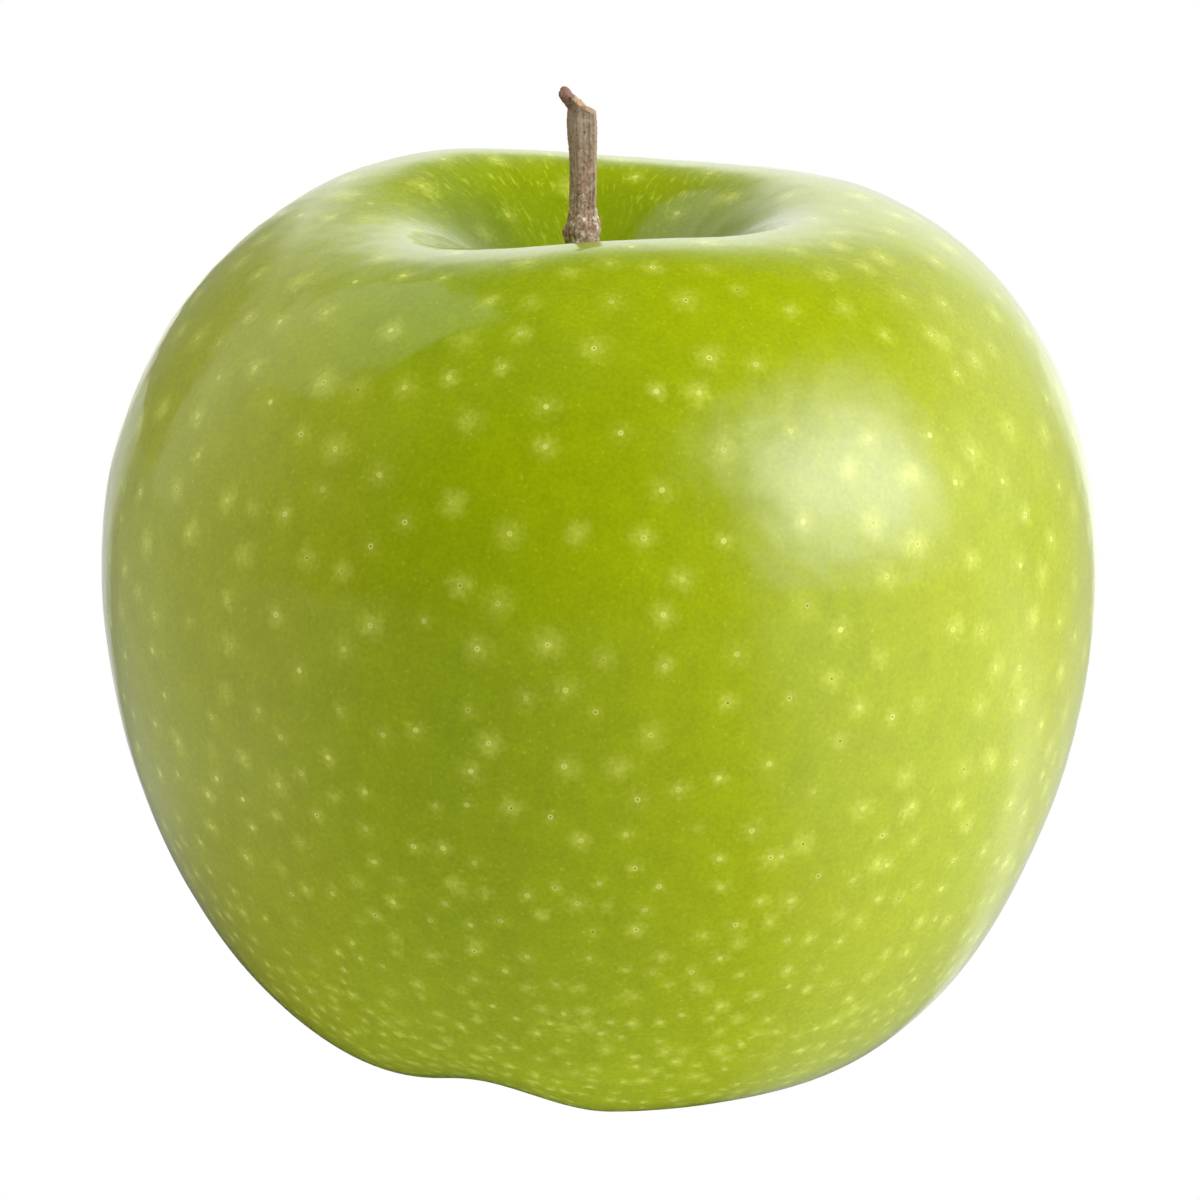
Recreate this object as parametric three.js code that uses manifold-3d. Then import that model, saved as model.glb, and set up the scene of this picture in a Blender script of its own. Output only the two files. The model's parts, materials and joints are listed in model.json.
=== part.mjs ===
// A fresh green apple, standing on the lobes of its base: the fruit, its woody stem, the dry
// calyx in the basin underneath, and the withered stamens inside the calyx.
//
// Millimetres, +Z up. The origin is on the surface that the apple rests on, under the middle of
// the fruit, and -Y is its front. Azimuths are in degrees, turning from +X towards +Y.
import * as THREE from "three";
import { mergeVertices } from "three/addons/utils/BufferGeometryUtils.js";
import Module from "manifold-3d";

// ---- The fruit's half outline: four curves, from the stem cavity round to the basin ----------
const waistRadius = 41.1; // half of the widest diameter
const waistHeight = 42.5;
const waistRise = 18.3; // how far the side stays steep above the waist
const waistDrop = 21.0; // and below it
const crestRadius = 18.5; // the rounded rim of the stem cavity
const crestHeight = 72.8;
const crestOutside = 10.8; // how far the rim stays level, outwards
const crestInside = 6.6; // and inwards
const cavityFloor = 62;
const cavityFlat = 4;
const footRadius = 15; // the low ring of lobes that it stands on
const footOutside = 12.7;
const footInside = 6.6;
const basinRoof = 9; // the hollow under the fruit
const basinFlat = 6.5;

// ---- What keeps a grown fruit from being a turned one ------------------------------------------
// Each swell has so many waves round the fruit, a size and the azimuth of its crest.
const crestSwells = [
  { waves: 1, size: 0.5, at: 85 },
  { waves: 2, size: 0.64, at: -51.5 },
  { waves: 3, size: 0.56, at: 25 },
];
const waistSwells = [
  { waves: 2, size: 0.15, at: -57 },
  { waves: 3, size: 0.09, at: 46 },
];
const flankSwells = [
  { waves: 1, size: 0.82, at: 51 },
  { waves: 2, size: 0.23, at: -14 },
  { waves: 3, size: 0.54, at: -50 },
];
const firstLobe = -87; // azimuth of the front lobe of five
const lobeLift = [0, 0, 0, 0, 0.4]; // how far each lobe is off the ground, the left one last
const furrowLift = [0.18, 1.7, 1.4, 1.3, 1.8]; // and the furrow that follows it
const footWear = 0.25; // the touching lobes are flat by this depth
const cavityShift = -1.3; // the cavity's floor lies off the axis, and the stem with it

// ---- Holes in the fruit -------------------------------------------------------------------------
const socketEdge = 0.15; // where along the cavity's curve the stem's socket opens
const socketFloor = 57.6;
const tubeEdge = 3.9; // where along the basin's curve the calyx tube opens
const tubeRoof = 12;

// ---- Stem ---------------------------------------------------------------------------------------
const stemFoot = 58;
const shaftRadius = 1.1;
const rootRadius = 1.6;
const knuckleHeight = 70; // the scarred swelling at the stem's base
const knuckleGrowth = 0.45;
const headHeight = 78.7; // slightly thicker again under the broken end
const headGrowth = 0.12;
const shaftEnd = 80.5; // middle of the slanting break at the top
const breakSlope = -0.7;
const stemPath = [
  [-1.3, 0, stemFoot],
  [-1.3, 0, 64],
  [-1.36, 0.1, 70],
  [-1.3, 0.1, 75],
  [-1.42, 0, shaftEnd],
];
const spurRoot = [-1.85, 0, 80.1]; // a broken bud spur leans out of the top
const spurBend = [-2.5, -0.05, 80.95];
const spurTip = [-3.12, -0.1, 81.75];
const spurRadius = 0.43;

// ---- Calyx and stamens --------------------------------------------------------------------------
const sepalCount = 5;
const firstSepal = -70;
const collarInner = 2.4;
const collarOuter = 3.6;
const collarTop = 7.5;
const collarDepth = 0.9;
const sepalThickness = 0.7;
const sepalHalfWidth = 1.45;
// Distance from the axis, height and share of the full width, along a sepal's middle line.
const sepalLine = [
  [3.0, 7.1, 0.9],
  [3.15, 6.0, 1.0],
  [3.05, 4.9, 0.86],
  [3.35, 3.8, 0.62],
  [4.25, 3.0, 0.38],
  [5.2, 2.9, 0.16],
];
const plugRadius = 1.35;
const plugTop = 11.6;
const plugDepth = 1.1;
const stamenCount = 12;
const stamenRadius = 0.3;
const antherRadius = 0.42;
const stamenEnd = 5.2;

// ---- Fineness -----------------------------------------------------------------------------------
const fruitColumns = 64;
const rowsPerCurve = [8, 12, 12, 9];
const flatSpotRows = [2.95, 3.08]; // two more rows, at the edges of the flat spots
const stemColumns = 14;
const stemRows = 22;

const wasm = await Module();
wasm.setup();

const radians = THREE.MathUtils.degToRad;

// ---- Solids ---------------------------------------------------------------------------------------

// A closed solid through rings with the same number of points, its ends closed to a middle point.
function loft(rings) {
  const columns = rings[0].length;
  const middles = [rings[0], rings.at(-1)].map((ring) =>
    ring.reduce((sum, point) => sum.add(point), new THREE.Vector3()).divideScalar(columns),
  );
  const points = [...rings.flat(), ...middles];
  const faces = [];
  for (let row = 0; row + 1 < rings.length; row++) {
    for (let column = 0; column < columns; column++) {
      const next = (column + 1) % columns;
      const a = row * columns + column;
      const b = row * columns + next;
      faces.push(a, b, b + columns, a, b + columns, a + columns);
    }
  }
  const first = points.length - 2;
  const lastRow = (rings.length - 1) * columns;
  for (let column = 0; column < columns; column++) {
    const next = (column + 1) % columns;
    faces.push(first, next, column);
    faces.push(first + 1, lastRow + column, lastRow + next);
  }
  const geometry = new THREE.BufferGeometry();
  geometry.setFromPoints(points);
  geometry.setIndex(faces);
  return geometry;
}

function toSolid(geometry) {
  const bare = geometry.clone();
  bare.deleteAttribute("normal");
  bare.deleteAttribute("uv");
  const merged = mergeVertices(bare);
  return new wasm.Manifold(
    new wasm.Mesh({
      numProp: 3,
      vertProperties: merged.attributes.position.array,
      triVerts: new Uint32Array(merged.index.array),
    }),
  );
}

// Overlapping pieces of one growth, joined in one body.
function fuse(geometries) {
  const joined = geometries.map(toSolid).reduce((whole, piece) => whole.add(piece));
  const mesh = joined.getMesh();
  const geometry = new THREE.BufferGeometry();
  geometry.setAttribute("position", new THREE.BufferAttribute(mesh.vertProperties, 3));
  geometry.setIndex(new THREE.BufferAttribute(mesh.triVerts, 1));
  return geometry;
}

// A ring of points round a place on a path, square to the path's direction there.
function ringAcross(place, direction, radiusAt, columns) {
  const side = new THREE.Vector3(0, 1, 0).cross(direction).normalize();
  const up = direction.clone().cross(side);
  return Array.from({ length: columns }, (_, column) => {
    const turn = (column / columns) * 2 * Math.PI;
    const reach = radiusAt(turn);
    return place
      .clone()
      .addScaledVector(side, reach * Math.cos(turn))
      .addScaledVector(up, reach * Math.sin(turn));
  });
}

function namedMesh(name, geometry, colour, roughness) {
  geometry.computeVertexNormals();
  const material = new THREE.MeshStandardMaterial({ color: colour, roughness, metalness: 0 });
  const mesh = new THREE.Mesh(geometry, material);
  mesh.name = name;
  return mesh;
}

// ---- Fruit ----------------------------------------------------------------------------------------

const outline = [
  [[0, cavityFloor], [cavityFlat, cavityFloor], [crestRadius - crestInside, crestHeight]],
  [[crestRadius, crestHeight], [crestRadius + crestOutside, crestHeight],
    [waistRadius, waistHeight + waistRise]],
  [[waistRadius, waistHeight], [waistRadius, waistHeight - waistDrop],
    [footRadius + footOutside, 0]],
  [[footRadius, 0], [footRadius - footInside, 0], [basinFlat, basinRoof]],
];
const outlineEnd = [0, basinRoof];
const outlineCurves = outline.map((start, curve) => {
  const end = curve + 1 < outline.length ? outline[curve + 1][0] : outlineEnd;
  return new THREE.CubicBezierCurve(...[...start, end].map(([r, z]) => new THREE.Vector2(r, z)));
});

// A smooth share, from 1 at a place along the outline to 0 a given reach away.
function nearness(along, place, reach) {
  const away = THREE.MathUtils.clamp((along - place) / reach, -1, 1);
  return Math.cos((Math.PI / 2) * away) ** 2;
}

function swell(swells, azimuth) {
  return swells.reduce(
    (sum, { waves, size, at }) => sum + size * Math.cos(waves * radians(azimuth - at)),
    0,
  );
}

// Height of the foot ring: lobes and furrows in turn, eased from each to the next.
function footLine(azimuth) {
  const step = 180 / lobeLift.length;
  const heights = lobeLift.flatMap((lift, lobe) => [lift, furrowLift[lobe]]);
  const turn = THREE.MathUtils.euclideanModulo(azimuth - firstLobe, 360) / step;
  const from = Math.floor(turn) % heights.length;
  const ease = 0.5 - 0.5 * Math.cos(Math.PI * (turn - Math.floor(turn)));
  return THREE.MathUtils.lerp(heights[from], heights[(from + 1) % heights.length], ease);
}

// A point of the skin. Along runs from 0 in the stem cavity over the crest at 1, the waist at 2
// and the foot at 3 to 4 in the basin.
function skinPoint(along, azimuth) {
  const curve = Math.min(Math.floor(along), outlineCurves.length - 1);
  const { x: radius, y: height } = outlineCurves[curve].getPoint(along - curve);
  const reach =
    radius +
    nearness(along, 2, 0.95) * swell(waistSwells, azimuth) +
    nearness(along, 2.6, 0.6) * swell(flankSwells, azimuth);
  const lift =
    nearness(along, 1, 1) * swell(crestSwells, azimuth) +
    nearness(along, 3, 0.9) * footLine(azimuth);
  return new THREE.Vector3(
    reach * Math.cos(radians(azimuth)) + cavityShift * nearness(along, 0, 1),
    reach * Math.sin(radians(azimuth)),
    Math.max(height + lift - footWear, 0),
  );
}

function skinRing(along) {
  return Array.from({ length: fruitColumns }, (_, column) =>
    skinPoint(along, (column / fruitColumns) * 360),
  );
}

// The same ring at another height: the end of a straight hole.
function levelRing(ring, height) {
  return ring.map((point) => new THREE.Vector3(point.x, point.y, height));
}

function skinRows() {
  const places = [...flatSpotRows];
  rowsPerCurve.forEach((rows, curve) => {
    for (let row = 1; row <= rows; row++) places.push(curve + row / rows);
  });
  const between = places.filter((along) => along > socketEdge && along < tubeEdge);
  return [socketEdge, ...between.sort((first, second) => first - second), tubeEdge];
}

function makeFruit() {
  const skin = skinRows().map(skinRing);
  const socket = levelRing(skin[0], socketFloor);
  const tube = levelRing(skin.at(-1), tubeRoof);
  // The rings go from the top down, so they are turned over for the faces to point out.
  return loft([socket, ...skin, tube].reverse());
}

// ---- Stem -----------------------------------------------------------------------------------------

function vectors(points) {
  return points.map((point) => new THREE.Vector3(...point));
}

// Thick where it enters the fruit, knuckled above that, slim, and a little wider at its end.
function stemRadius(height) {
  const root = nearness(height, stemFoot, 14) * (rootRadius - shaftRadius);
  const knuckle = nearness(height, knuckleHeight, 2.1) * knuckleGrowth;
  const head = nearness(height, headHeight, 2.5) * headGrowth;
  return shaftRadius + Math.max(root, knuckle) + head;
}

function makeShaft() {
  const path = new THREE.CatmullRomCurve3(vectors(stemPath));
  const rings = [];
  for (let row = 0; row <= stemRows; row++) {
    const share = row / stemRows;
    const place = path.getPointAt(share);
    const girth = stemRadius(place.z);
    const ribbed = (turn) => girth * (1 + 0.05 * Math.cos(5 * turn + 0.6) + 0.03 * Math.cos(2 * turn));
    const ring = ringAcross(place, path.getTangentAt(share), ribbed, stemColumns);
    // Towards its end the rings tip over into the slanting break.
    const slope = breakSlope * THREE.MathUtils.smoothstep(place.z, shaftEnd - 2.4, shaftEnd);
    ring.forEach((point) => (point.z += slope * (point.x - place.x)));
    rings.push(ring);
  }
  const end = rings.at(-1);
  const middle = path.getPointAt(1);
  rings.push(end.map((point) => point.clone().lerp(middle, 0.3).setZ(point.z + 0.25)));
  return loft(rings);
}

function makeSpur() {
  const path = new THREE.CatmullRomCurve3(vectors([spurRoot, spurBend, spurTip]));
  const girths = [1.15, 1.1, 1, 0.95, 1, 0.98, 0.55];
  const rings = girths.map((girth, row) => {
    const share = row / (girths.length - 1);
    const round = () => girth * spurRadius;
    return ringAcross(path.getPointAt(share), path.getTangentAt(share), round, 8);
  });
  return loft(rings);
}

// ---- Calyx ----------------------------------------------------------------------------------------

function makeCollar() {
  const section = [
    [collarInner, collarTop - collarDepth],
    [collarOuter - 0.3, collarTop - collarDepth],
    [collarOuter, collarTop - collarDepth / 2],
    [collarOuter - 0.3, collarTop],
    [collarInner, collarTop],
    [collarInner, collarTop - collarDepth],
  ];
  const profile = section.map(([r, z]) => new THREE.Vector2(r, z));
  return new THREE.LatheGeometry(profile, 30).rotateX(Math.PI / 2);
}

// A pointed blade, arched across its width, that leaves the collar downwards and curls out.
function makeSepal(azimuth) {
  const line = new THREE.CatmullRomCurve3(vectors(sepalLine.map(([r, z]) => [r, 0, z])));
  const widths = new THREE.CatmullRomCurve3(vectors(sepalLine.map(([, , width]) => [width, 0, 0])));
  const rows = 10;
  const across = [-1, -0.5, 0, 0.5, 1];
  const rings = [];
  for (let row = 0; row <= rows; row++) {
    const share = row / rows;
    const middle = line.getPoint(share);
    const along = line.getTangent(share);
    const outwards = new THREE.Vector3(-along.z, 0, along.x);
    const half = sepalHalfWidth * widths.getPoint(share).x;
    const blade = (side, face) =>
      middle
        .clone()
        .add(new THREE.Vector3(0, side * half, 0))
        .addScaledVector(outwards, (face * sepalThickness) / 2 - 0.35 * half * side * side);
    const outside = across.map((side) => blade(-side, 1));
    const inside = across.map((side) => blade(side, -1));
    rings.push([...outside, ...inside]);
  }
  return loft(rings).rotateZ(radians(azimuth));
}

function makeCalyx() {
  const sepals = [];
  for (let sepal = 0; sepal < sepalCount; sepal++) {
    sepals.push(makeSepal(firstSepal + (sepal * 360) / sepalCount));
  }
  return fuse([makeCollar(), ...sepals]);
}

// ---- Stamens --------------------------------------------------------------------------------------

// A repeatable run of numbers from 0 to 1.
function seededDraws(seed) {
  let state = seed;
  return () => {
    state = (state * 1664525 + 1013904223) % 4294967296;
    return state / 4294967296;
  };
}

// One withered thread: out of the plug, down through the collar, with a small dry anther.
function makeStamen(azimuth, startRadius, endRadius, endHeight) {
  const away = new THREE.Vector3(Math.cos(radians(azimuth)), Math.sin(radians(azimuth)), 0);
  const at = (radius, height) => away.clone().multiplyScalar(radius).setZ(height);
  const path = new THREE.CatmullRomCurve3([
    at(startRadius, plugTop - plugDepth / 2),
    at(startRadius, 9),
    at((startRadius + endRadius) / 2, 7.2),
    at(endRadius, endHeight),
  ]);
  const girths = [1, 1, 1, 1, 1, 0.95, antherRadius / stamenRadius, 0.7];
  const rings = girths.map((girth, row) => {
    const share = row / (girths.length - 1);
    const round = () => girth * stamenRadius;
    return ringAcross(path.getPointAt(share), path.getTangentAt(share), round, 5);
  });
  return loft(rings);
}

function makeStamens() {
  const draw = seededDraws(11);
  const plug = new THREE.CylinderGeometry(plugRadius, plugRadius, plugDepth, 20)
    .rotateX(Math.PI / 2)
    .translate(0, 0, plugTop - plugDepth / 2);
  const threads = [];
  for (let stamen = 0; stamen < stamenCount; stamen++) {
    const azimuth = (stamen * 360) / stamenCount + 12 * (draw() - 0.5);
    const inner = stamen % 3 === 0;
    const startRadius = inner ? 0.4 : 0.95;
    const endRadius = inner ? 0.7 : 1.5 + 0.2 * draw();
    threads.push(makeStamen(azimuth, startRadius, endRadius, stamenEnd + 1.2 * draw()));
  }
  return fuse([plug, ...threads]);
}

// ---- The apple --------------------------------------------------------------------------------------

const apple = new THREE.Group();
apple.add(
  namedMesh("fruit", makeFruit(), 0x98b40e, 0.32),
  namedMesh("stem", fuse([makeShaft(), makeSpur()]), 0x8c7358, 0.85),
  namedMesh("calyx", makeCalyx(), 0x6b5133, 0.9),
  namedMesh("stamens", makeStamens(), 0x3f2d1d, 0.95),
);

export default apple;
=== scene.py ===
# %% [markdown]
# # A green apple
# This lesson dresses a plain CAD model of an apple. The CAD model says where everything is and how large:
# a fruit, its stem, and the dry calyx and stamens underneath. It is loaded first and never moved. Every
# piece made here is drawn in the same metres and place, and stands in for one CAD node.

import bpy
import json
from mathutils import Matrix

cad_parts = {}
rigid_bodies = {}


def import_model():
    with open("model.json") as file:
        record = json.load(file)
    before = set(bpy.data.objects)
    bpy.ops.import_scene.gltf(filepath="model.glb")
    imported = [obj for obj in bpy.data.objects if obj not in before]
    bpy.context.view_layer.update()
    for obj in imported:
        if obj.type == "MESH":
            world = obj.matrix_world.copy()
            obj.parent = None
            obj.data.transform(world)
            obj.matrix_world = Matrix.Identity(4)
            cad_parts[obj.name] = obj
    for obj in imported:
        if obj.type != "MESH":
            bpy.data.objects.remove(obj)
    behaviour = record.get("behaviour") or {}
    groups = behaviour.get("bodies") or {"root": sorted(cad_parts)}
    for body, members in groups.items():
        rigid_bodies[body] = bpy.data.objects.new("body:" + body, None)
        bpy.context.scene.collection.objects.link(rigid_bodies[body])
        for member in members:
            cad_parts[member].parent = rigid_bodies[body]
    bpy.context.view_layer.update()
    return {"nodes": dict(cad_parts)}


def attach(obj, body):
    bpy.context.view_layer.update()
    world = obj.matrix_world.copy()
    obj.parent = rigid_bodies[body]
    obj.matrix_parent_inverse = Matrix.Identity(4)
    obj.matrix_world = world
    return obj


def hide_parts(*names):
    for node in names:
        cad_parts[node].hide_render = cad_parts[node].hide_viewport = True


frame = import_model()
print("nodes in the frame:", sorted(frame["nodes"]))

# %% [markdown]
# ## Helpers
# Operators work on whatever is selected, and the loaded nodes are all selected. So each piece starts from
# a clean selection. Fine relief is easier in numbers than by hand, so other helpers fetch and return the
# vertices of a mesh as one table.

# %% Selecting, and reading and moving vertices
import json
import math
from contextlib import contextmanager

import bpy
import numpy as np
from mathutils import Quaternion, Vector, noise
from mathutils.kdtree import KDTree

MM = 0.001


def select_nothing():
    for other in bpy.context.selected_objects:
        other.select_set(False)


def select_only(piece):
    select_nothing()
    piece.select_set(True)
    bpy.context.view_layer.objects.active = piece


def read_rows(elements, field):
    """A row of three numbers for each vertex, normal or face."""
    flat = np.empty(len(elements) * 3)
    elements.foreach_get(field, flat)
    return flat.reshape(-1, 3)


def read_places(piece):
    return read_rows(piece.data.vertices, "co")


def write_places(piece, places):
    piece.data.vertices.foreach_set("co", places.astype(np.float32).ravel())
    piece.data.update()


def push_out(piece, places, push):
    """Moves each vertex outwards along its normal from its place."""
    normals = read_rows(piece.data.vertex_normals, "vector")
    write_places(piece, places + normals * push[:, None])


def finder_of(points):
    """Finds the nearest of these points to any place."""
    finder = KDTree(len(points))
    for index, point in enumerate(points):
        finder.insert(point, index)
    finder.balance()
    return finder


@contextmanager
def editing(selecting="SELECT"):
    """Edit mode with all of the active piece selected, or nothing of it, and object mode again after."""
    bpy.ops.object.mode_set(mode="EDIT")
    bpy.ops.mesh.select_all(action=selecting)
    yield
    bpy.ops.object.mode_set(mode="OBJECT")


def print_box(name, places):
    print(name, "box, mm:", places.min(0) / MM, places.max(0) / MM)


def finish_modifiers(piece):
    select_only(piece)
    for modifier in list(piece.modifiers):
        bpy.ops.object.modifier_apply(modifier=modifier.name)


# %% [markdown]
# ## The outline of the fruit
# Half of an apple's section, turned round its core, gives most of its form. A Bezier curve draws it with
# few points: five knots say where the cavity's floor, the crest, the waist, the foot and the basin's roof
# are, and their handles say how full the curve is between. The sizes are those of the CAD model.

# %% Draw the outline as a curve
waist_radius = 41.1 * MM
waist_height = 42.5 * MM
waist_rise = 18.3 * MM
waist_drop = 21.0 * MM
crest_radius = 18.5 * MM
crest_height = 72.8 * MM
crest_outside = 10.8 * MM
crest_inside = 6.6 * MM
cavity_floor = 62.0 * MM
cavity_flat = 4.0 * MM
foot_radius = 15.0 * MM
foot_outside = 12.7 * MM
foot_inside = 6.6 * MM
basin_roof = 9.0 * MM
basin_flat = 6.5 * MM

# Each knot: its radius and height, and the steps from it to the handle before and the handle after.
outline_knots = [
    (0, cavity_floor, (0, 0), (cavity_flat, 0)),
    (crest_radius, crest_height, (-crest_inside, 0), (crest_outside, 0)),
    (waist_radius, waist_height, (0, waist_rise), (0, -waist_drop)),
    (foot_radius, 0, (foot_outside, 0), (-foot_inside, 0)),
    (0, basin_roof, (basin_flat, 0), (0, 0)),
]
rows_per_span = 52


def add_curve(name, points, steps_per_span, handles):
    """A Bezier curve with so many points, which are then placed by the caller."""
    select_nothing()
    bpy.ops.curve.primitive_bezier_curve_add()
    curve = bpy.context.object
    curve.name = name
    curve.data.dimensions = "3D"
    spline = curve.data.splines[0]
    spline.bezier_points.add(points - 2)
    spline.resolution_u = steps_per_span
    for point in spline.bezier_points:
        point.handle_left_type = handles
        point.handle_right_type = handles
    return curve


apple = add_curve("apple_flesh_and_skin", len(outline_knots), rows_per_span, "FREE")
for point, (radius, height, before, after) in zip(apple.data.splines[0].bezier_points, outline_knots):
    point.co = (radius, 0, height)
    point.handle_left = (radius + before[0], 0, height + before[1])
    point.handle_right = (radius + after[0], 0, height + after[1])
bpy.ops.object.convert(target="MESH")
outline_places = read_places(apple)
print("outline points:", len(outline_places))

# %% [markdown]
# ## Turning the outline
# Spin sweeps the outline once round the upright axis, and the doubles at its seam are merged. At the
# stem's end the tiny rings are merged to one point, which the stem hides. At the other end they make way
# for the calyx tube, the narrow pit in which the stamens dried: its rim is extruded upwards twice and
# closed. Last, the normals are made to point outwards.

# %% Spin the outline into a body
columns = 336
seam_width = 0.001 * MM

with editing():
    bpy.ops.mesh.spin(steps=columns, angle=2 * math.pi, center=(0, 0, 0), axis=(0, 0, 1))
    bpy.ops.mesh.select_all(action="SELECT")
    bpy.ops.mesh.remove_doubles(threshold=seam_width)
print("spun faces:", len(apple.data.polygons))

# %% Close the skin at both ends
pole_reach = 0.9 * MM
height_margin = 1 * MM
tube_radius = 1.8 * MM
tube_rim = 2.05 * MM
tube_roof = 12 * MM
tube_step = 1.6 * MM
tube_taper = 0.85


def select_beside_axis(piece, reach, height):
    """Selects the vertices within reach of the axis at about a height, and enters edit mode."""
    select_only(piece)
    with editing("DESELECT"):
        bpy.ops.mesh.select_mode(type="VERT")
    for vertex in piece.data.vertices:
        beside_axis = math.hypot(vertex.co.x, vertex.co.y) < reach
        vertex.select = beside_axis and abs(vertex.co.z - height) < height_margin
    bpy.ops.object.mode_set(mode="EDIT")


select_beside_axis(apple, pole_reach, cavity_floor)
bpy.ops.mesh.merge(type="CENTER")
bpy.ops.object.mode_set(mode="OBJECT")

select_beside_axis(apple, tube_radius, basin_roof)
bpy.ops.mesh.delete(type="VERT")
bpy.ops.object.mode_set(mode="OBJECT")
select_beside_axis(apple, tube_rim, basin_roof)
bpy.ops.mesh.select_non_manifold()
for rise in (tube_step, tube_roof - basin_roof - tube_step):
    bpy.ops.mesh.extrude_region_move(TRANSFORM_OT_translate={"value": (0, 0, rise)})
    bpy.ops.transform.resize(value=(tube_taper, tube_taper, 1))
bpy.ops.mesh.extrude_region_move()
bpy.ops.mesh.merge(type="CENTER")
bpy.ops.mesh.select_all(action="SELECT")
bpy.ops.mesh.normals_make_consistent(inside=False)
bpy.ops.object.mode_set(mode="OBJECT")
print("turned body:", len(apple.data.polygons), "faces")

# %% [markdown]
# ## From a turned body to an apple
# No apple is round. Its shoulders rise and fall, its flanks swell, and it stands on lobes, one for each
# cell of the core. Each of these is a wave round the axis that fades out above and below its place. The
# CAD model has the same waves, so both surfaces agree everywhere.

# %% Measure how far along the outline each vertex lies
# It runs from 0 at the cavity's floor to 4 at the basin's roof. The flank is below the waist.
at_floor = 0
at_crest = 1
at_waist = 2
at_flank = 2.6
at_foot = 3


def along_outline(places):
    reach = np.hypot(places[:, 0], places[:, 1])
    steps = finder_of(outline_places)
    nearest = [steps.find((radius, 0, height))[1] for radius, height in zip(reach, places[:, 2])]
    return np.array(nearest) / rows_per_span


along = along_outline(read_places(apple))
print("outline covered from", along.min(), "to", along.max())

# %% Swell the crest, waist and flank, and stand the body on its lobes
# Each swell: how many waves go round, its size, and the azimuth in degrees where it is highest.
crest_swells = [(1, 0.5 * MM, 85), (2, 0.64 * MM, -51.5), (3, 0.56 * MM, 25)]
waist_swells = [(2, 0.15 * MM, -57), (3, 0.09 * MM, 46)]
flank_swells = [(1, 0.82 * MM, 51), (2, 0.23 * MM, -14), (3, 0.54 * MM, -50)]
# How far along the outline each of them reaches, to either side.
crest_spread = 1
waist_spread = 0.95
flank_spread = 0.6
foot_spread = 0.9
first_lobe = -87
lobe_lifts = [0, 0, 0, 0, 0.4 * MM]
furrow_lifts = [0.18 * MM, 1.7 * MM, 1.4 * MM, 1.3 * MM, 1.8 * MM]
foot_wear = 0.25 * MM
cavity_shift = -1.3 * MM


def nearness(value, place, spread):
    """1 at the place, falling smoothly to 0 at the spread on either side."""
    apart = np.clip((value - place) / spread, -1, 1)
    return np.cos(np.pi / 2 * apart) ** 2


def wave_round(azimuth, swells):
    return sum(size * np.cos(waves * (azimuth - math.radians(top))) for waves, size, top in swells)


def foot_line(azimuth):
    """Height of the foot ring: a lobe, a furrow, a lobe and so on, eased from one to the next."""
    heights = np.array([height for pair in zip(lobe_lifts, furrow_lifts) for height in pair])
    step = np.mod(azimuth - math.radians(first_lobe), 2 * np.pi) / (2 * np.pi) * len(heights)
    here = np.floor(step).astype(int) % len(heights)
    ease = (1 - np.cos(np.pi * (step - np.floor(step)))) / 2
    return heights[here] * (1 - ease) + heights[(here + 1) % len(heights)] * ease


places = read_places(apple)
azimuth = np.arctan2(places[:, 1], places[:, 0])
reach = np.hypot(places[:, 0], places[:, 1])
off_axis = (reach > seam_width) * 1.0
reach += off_axis * nearness(along, at_waist, waist_spread) * wave_round(azimuth, waist_swells)
reach += off_axis * nearness(along, at_flank, flank_spread) * wave_round(azimuth, flank_swells)
lift = nearness(along, at_crest, crest_spread) * wave_round(azimuth, crest_swells)
lift += nearness(along, at_foot, foot_spread) * foot_line(azimuth)
along_x = reach * np.cos(azimuth) + cavity_shift * nearness(along, at_floor, crest_spread)
upwards = np.maximum(places[:, 2] + lift - foot_wear, 0)
apple_places = np.stack([along_x, reach * np.sin(azimuth), upwards], axis=1)
write_places(apple, apple_places)
print_box("apple", apple_places)

# %% [markdown]
# ## A skin that isn't quite smooth
# The wax shows every unevenness of the flesh as a bend in a reflection. A Displace modifier with a soft
# cloud texture gives that. A vertex group fades it out at the foot, so that the apple still stands, and
# where the stem goes in.

# %% Ripple the skin
flat_foot = 1 * MM
rippled_from = 9 * MM
still_floor = 0.1
rippled_cavity = 0.5


def smooth_rise(value, start, end):
    share = np.clip((value - start) / (end - start), 0, 1)
    return share * share * (3 - 2 * share)


def displace(piece, name, size, depth, group=""):
    """Raises and lowers a surface by soft clouds of a given size."""
    cloud = bpy.data.textures.new(name, "CLOUDS")
    cloud.noise_scale = size
    cloud.noise_depth = 1
    modifier = piece.modifiers.new(name, "DISPLACE")
    modifier.texture = cloud
    modifier.texture_coords = "LOCAL"
    modifier.strength = depth
    modifier.vertex_group = group


ripple_share = smooth_rise(apple_places[:, 2], flat_foot, rippled_from)
ripple_share *= smooth_rise(along, still_floor, rippled_cavity)
ripple_group = apple.vertex_groups.new(name="rippled_skin")
for index, share in enumerate(ripple_share):
    ripple_group.add([index], share, "REPLACE")
displace(apple, "broad_unevenness", size=15 * MM, depth=0.34 * MM, group="rippled_skin")
displace(apple, "small_unevenness", size=5 * MM, depth=0.05 * MM, group="rippled_skin")
finish_modifiers(apple)
bpy.ops.object.shade_smooth()
apple_places = read_places(apple)
print("rippled skin, highest point in mm:", apple_places[:, 2].max() / MM)

# %% [markdown]
# ## Where the pores are
# The pale dots of an apple are its breathing pores. They are few and far apart at the shoulders, where
# the skin has stretched, and small and crowded near the base. So pores are thrown at random on the
# surface, thick or thin by height, and one that lands too close to another is dropped. A few get a twin.

# %% Scatter the pores
rng = np.random.default_rng(4711)

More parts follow.
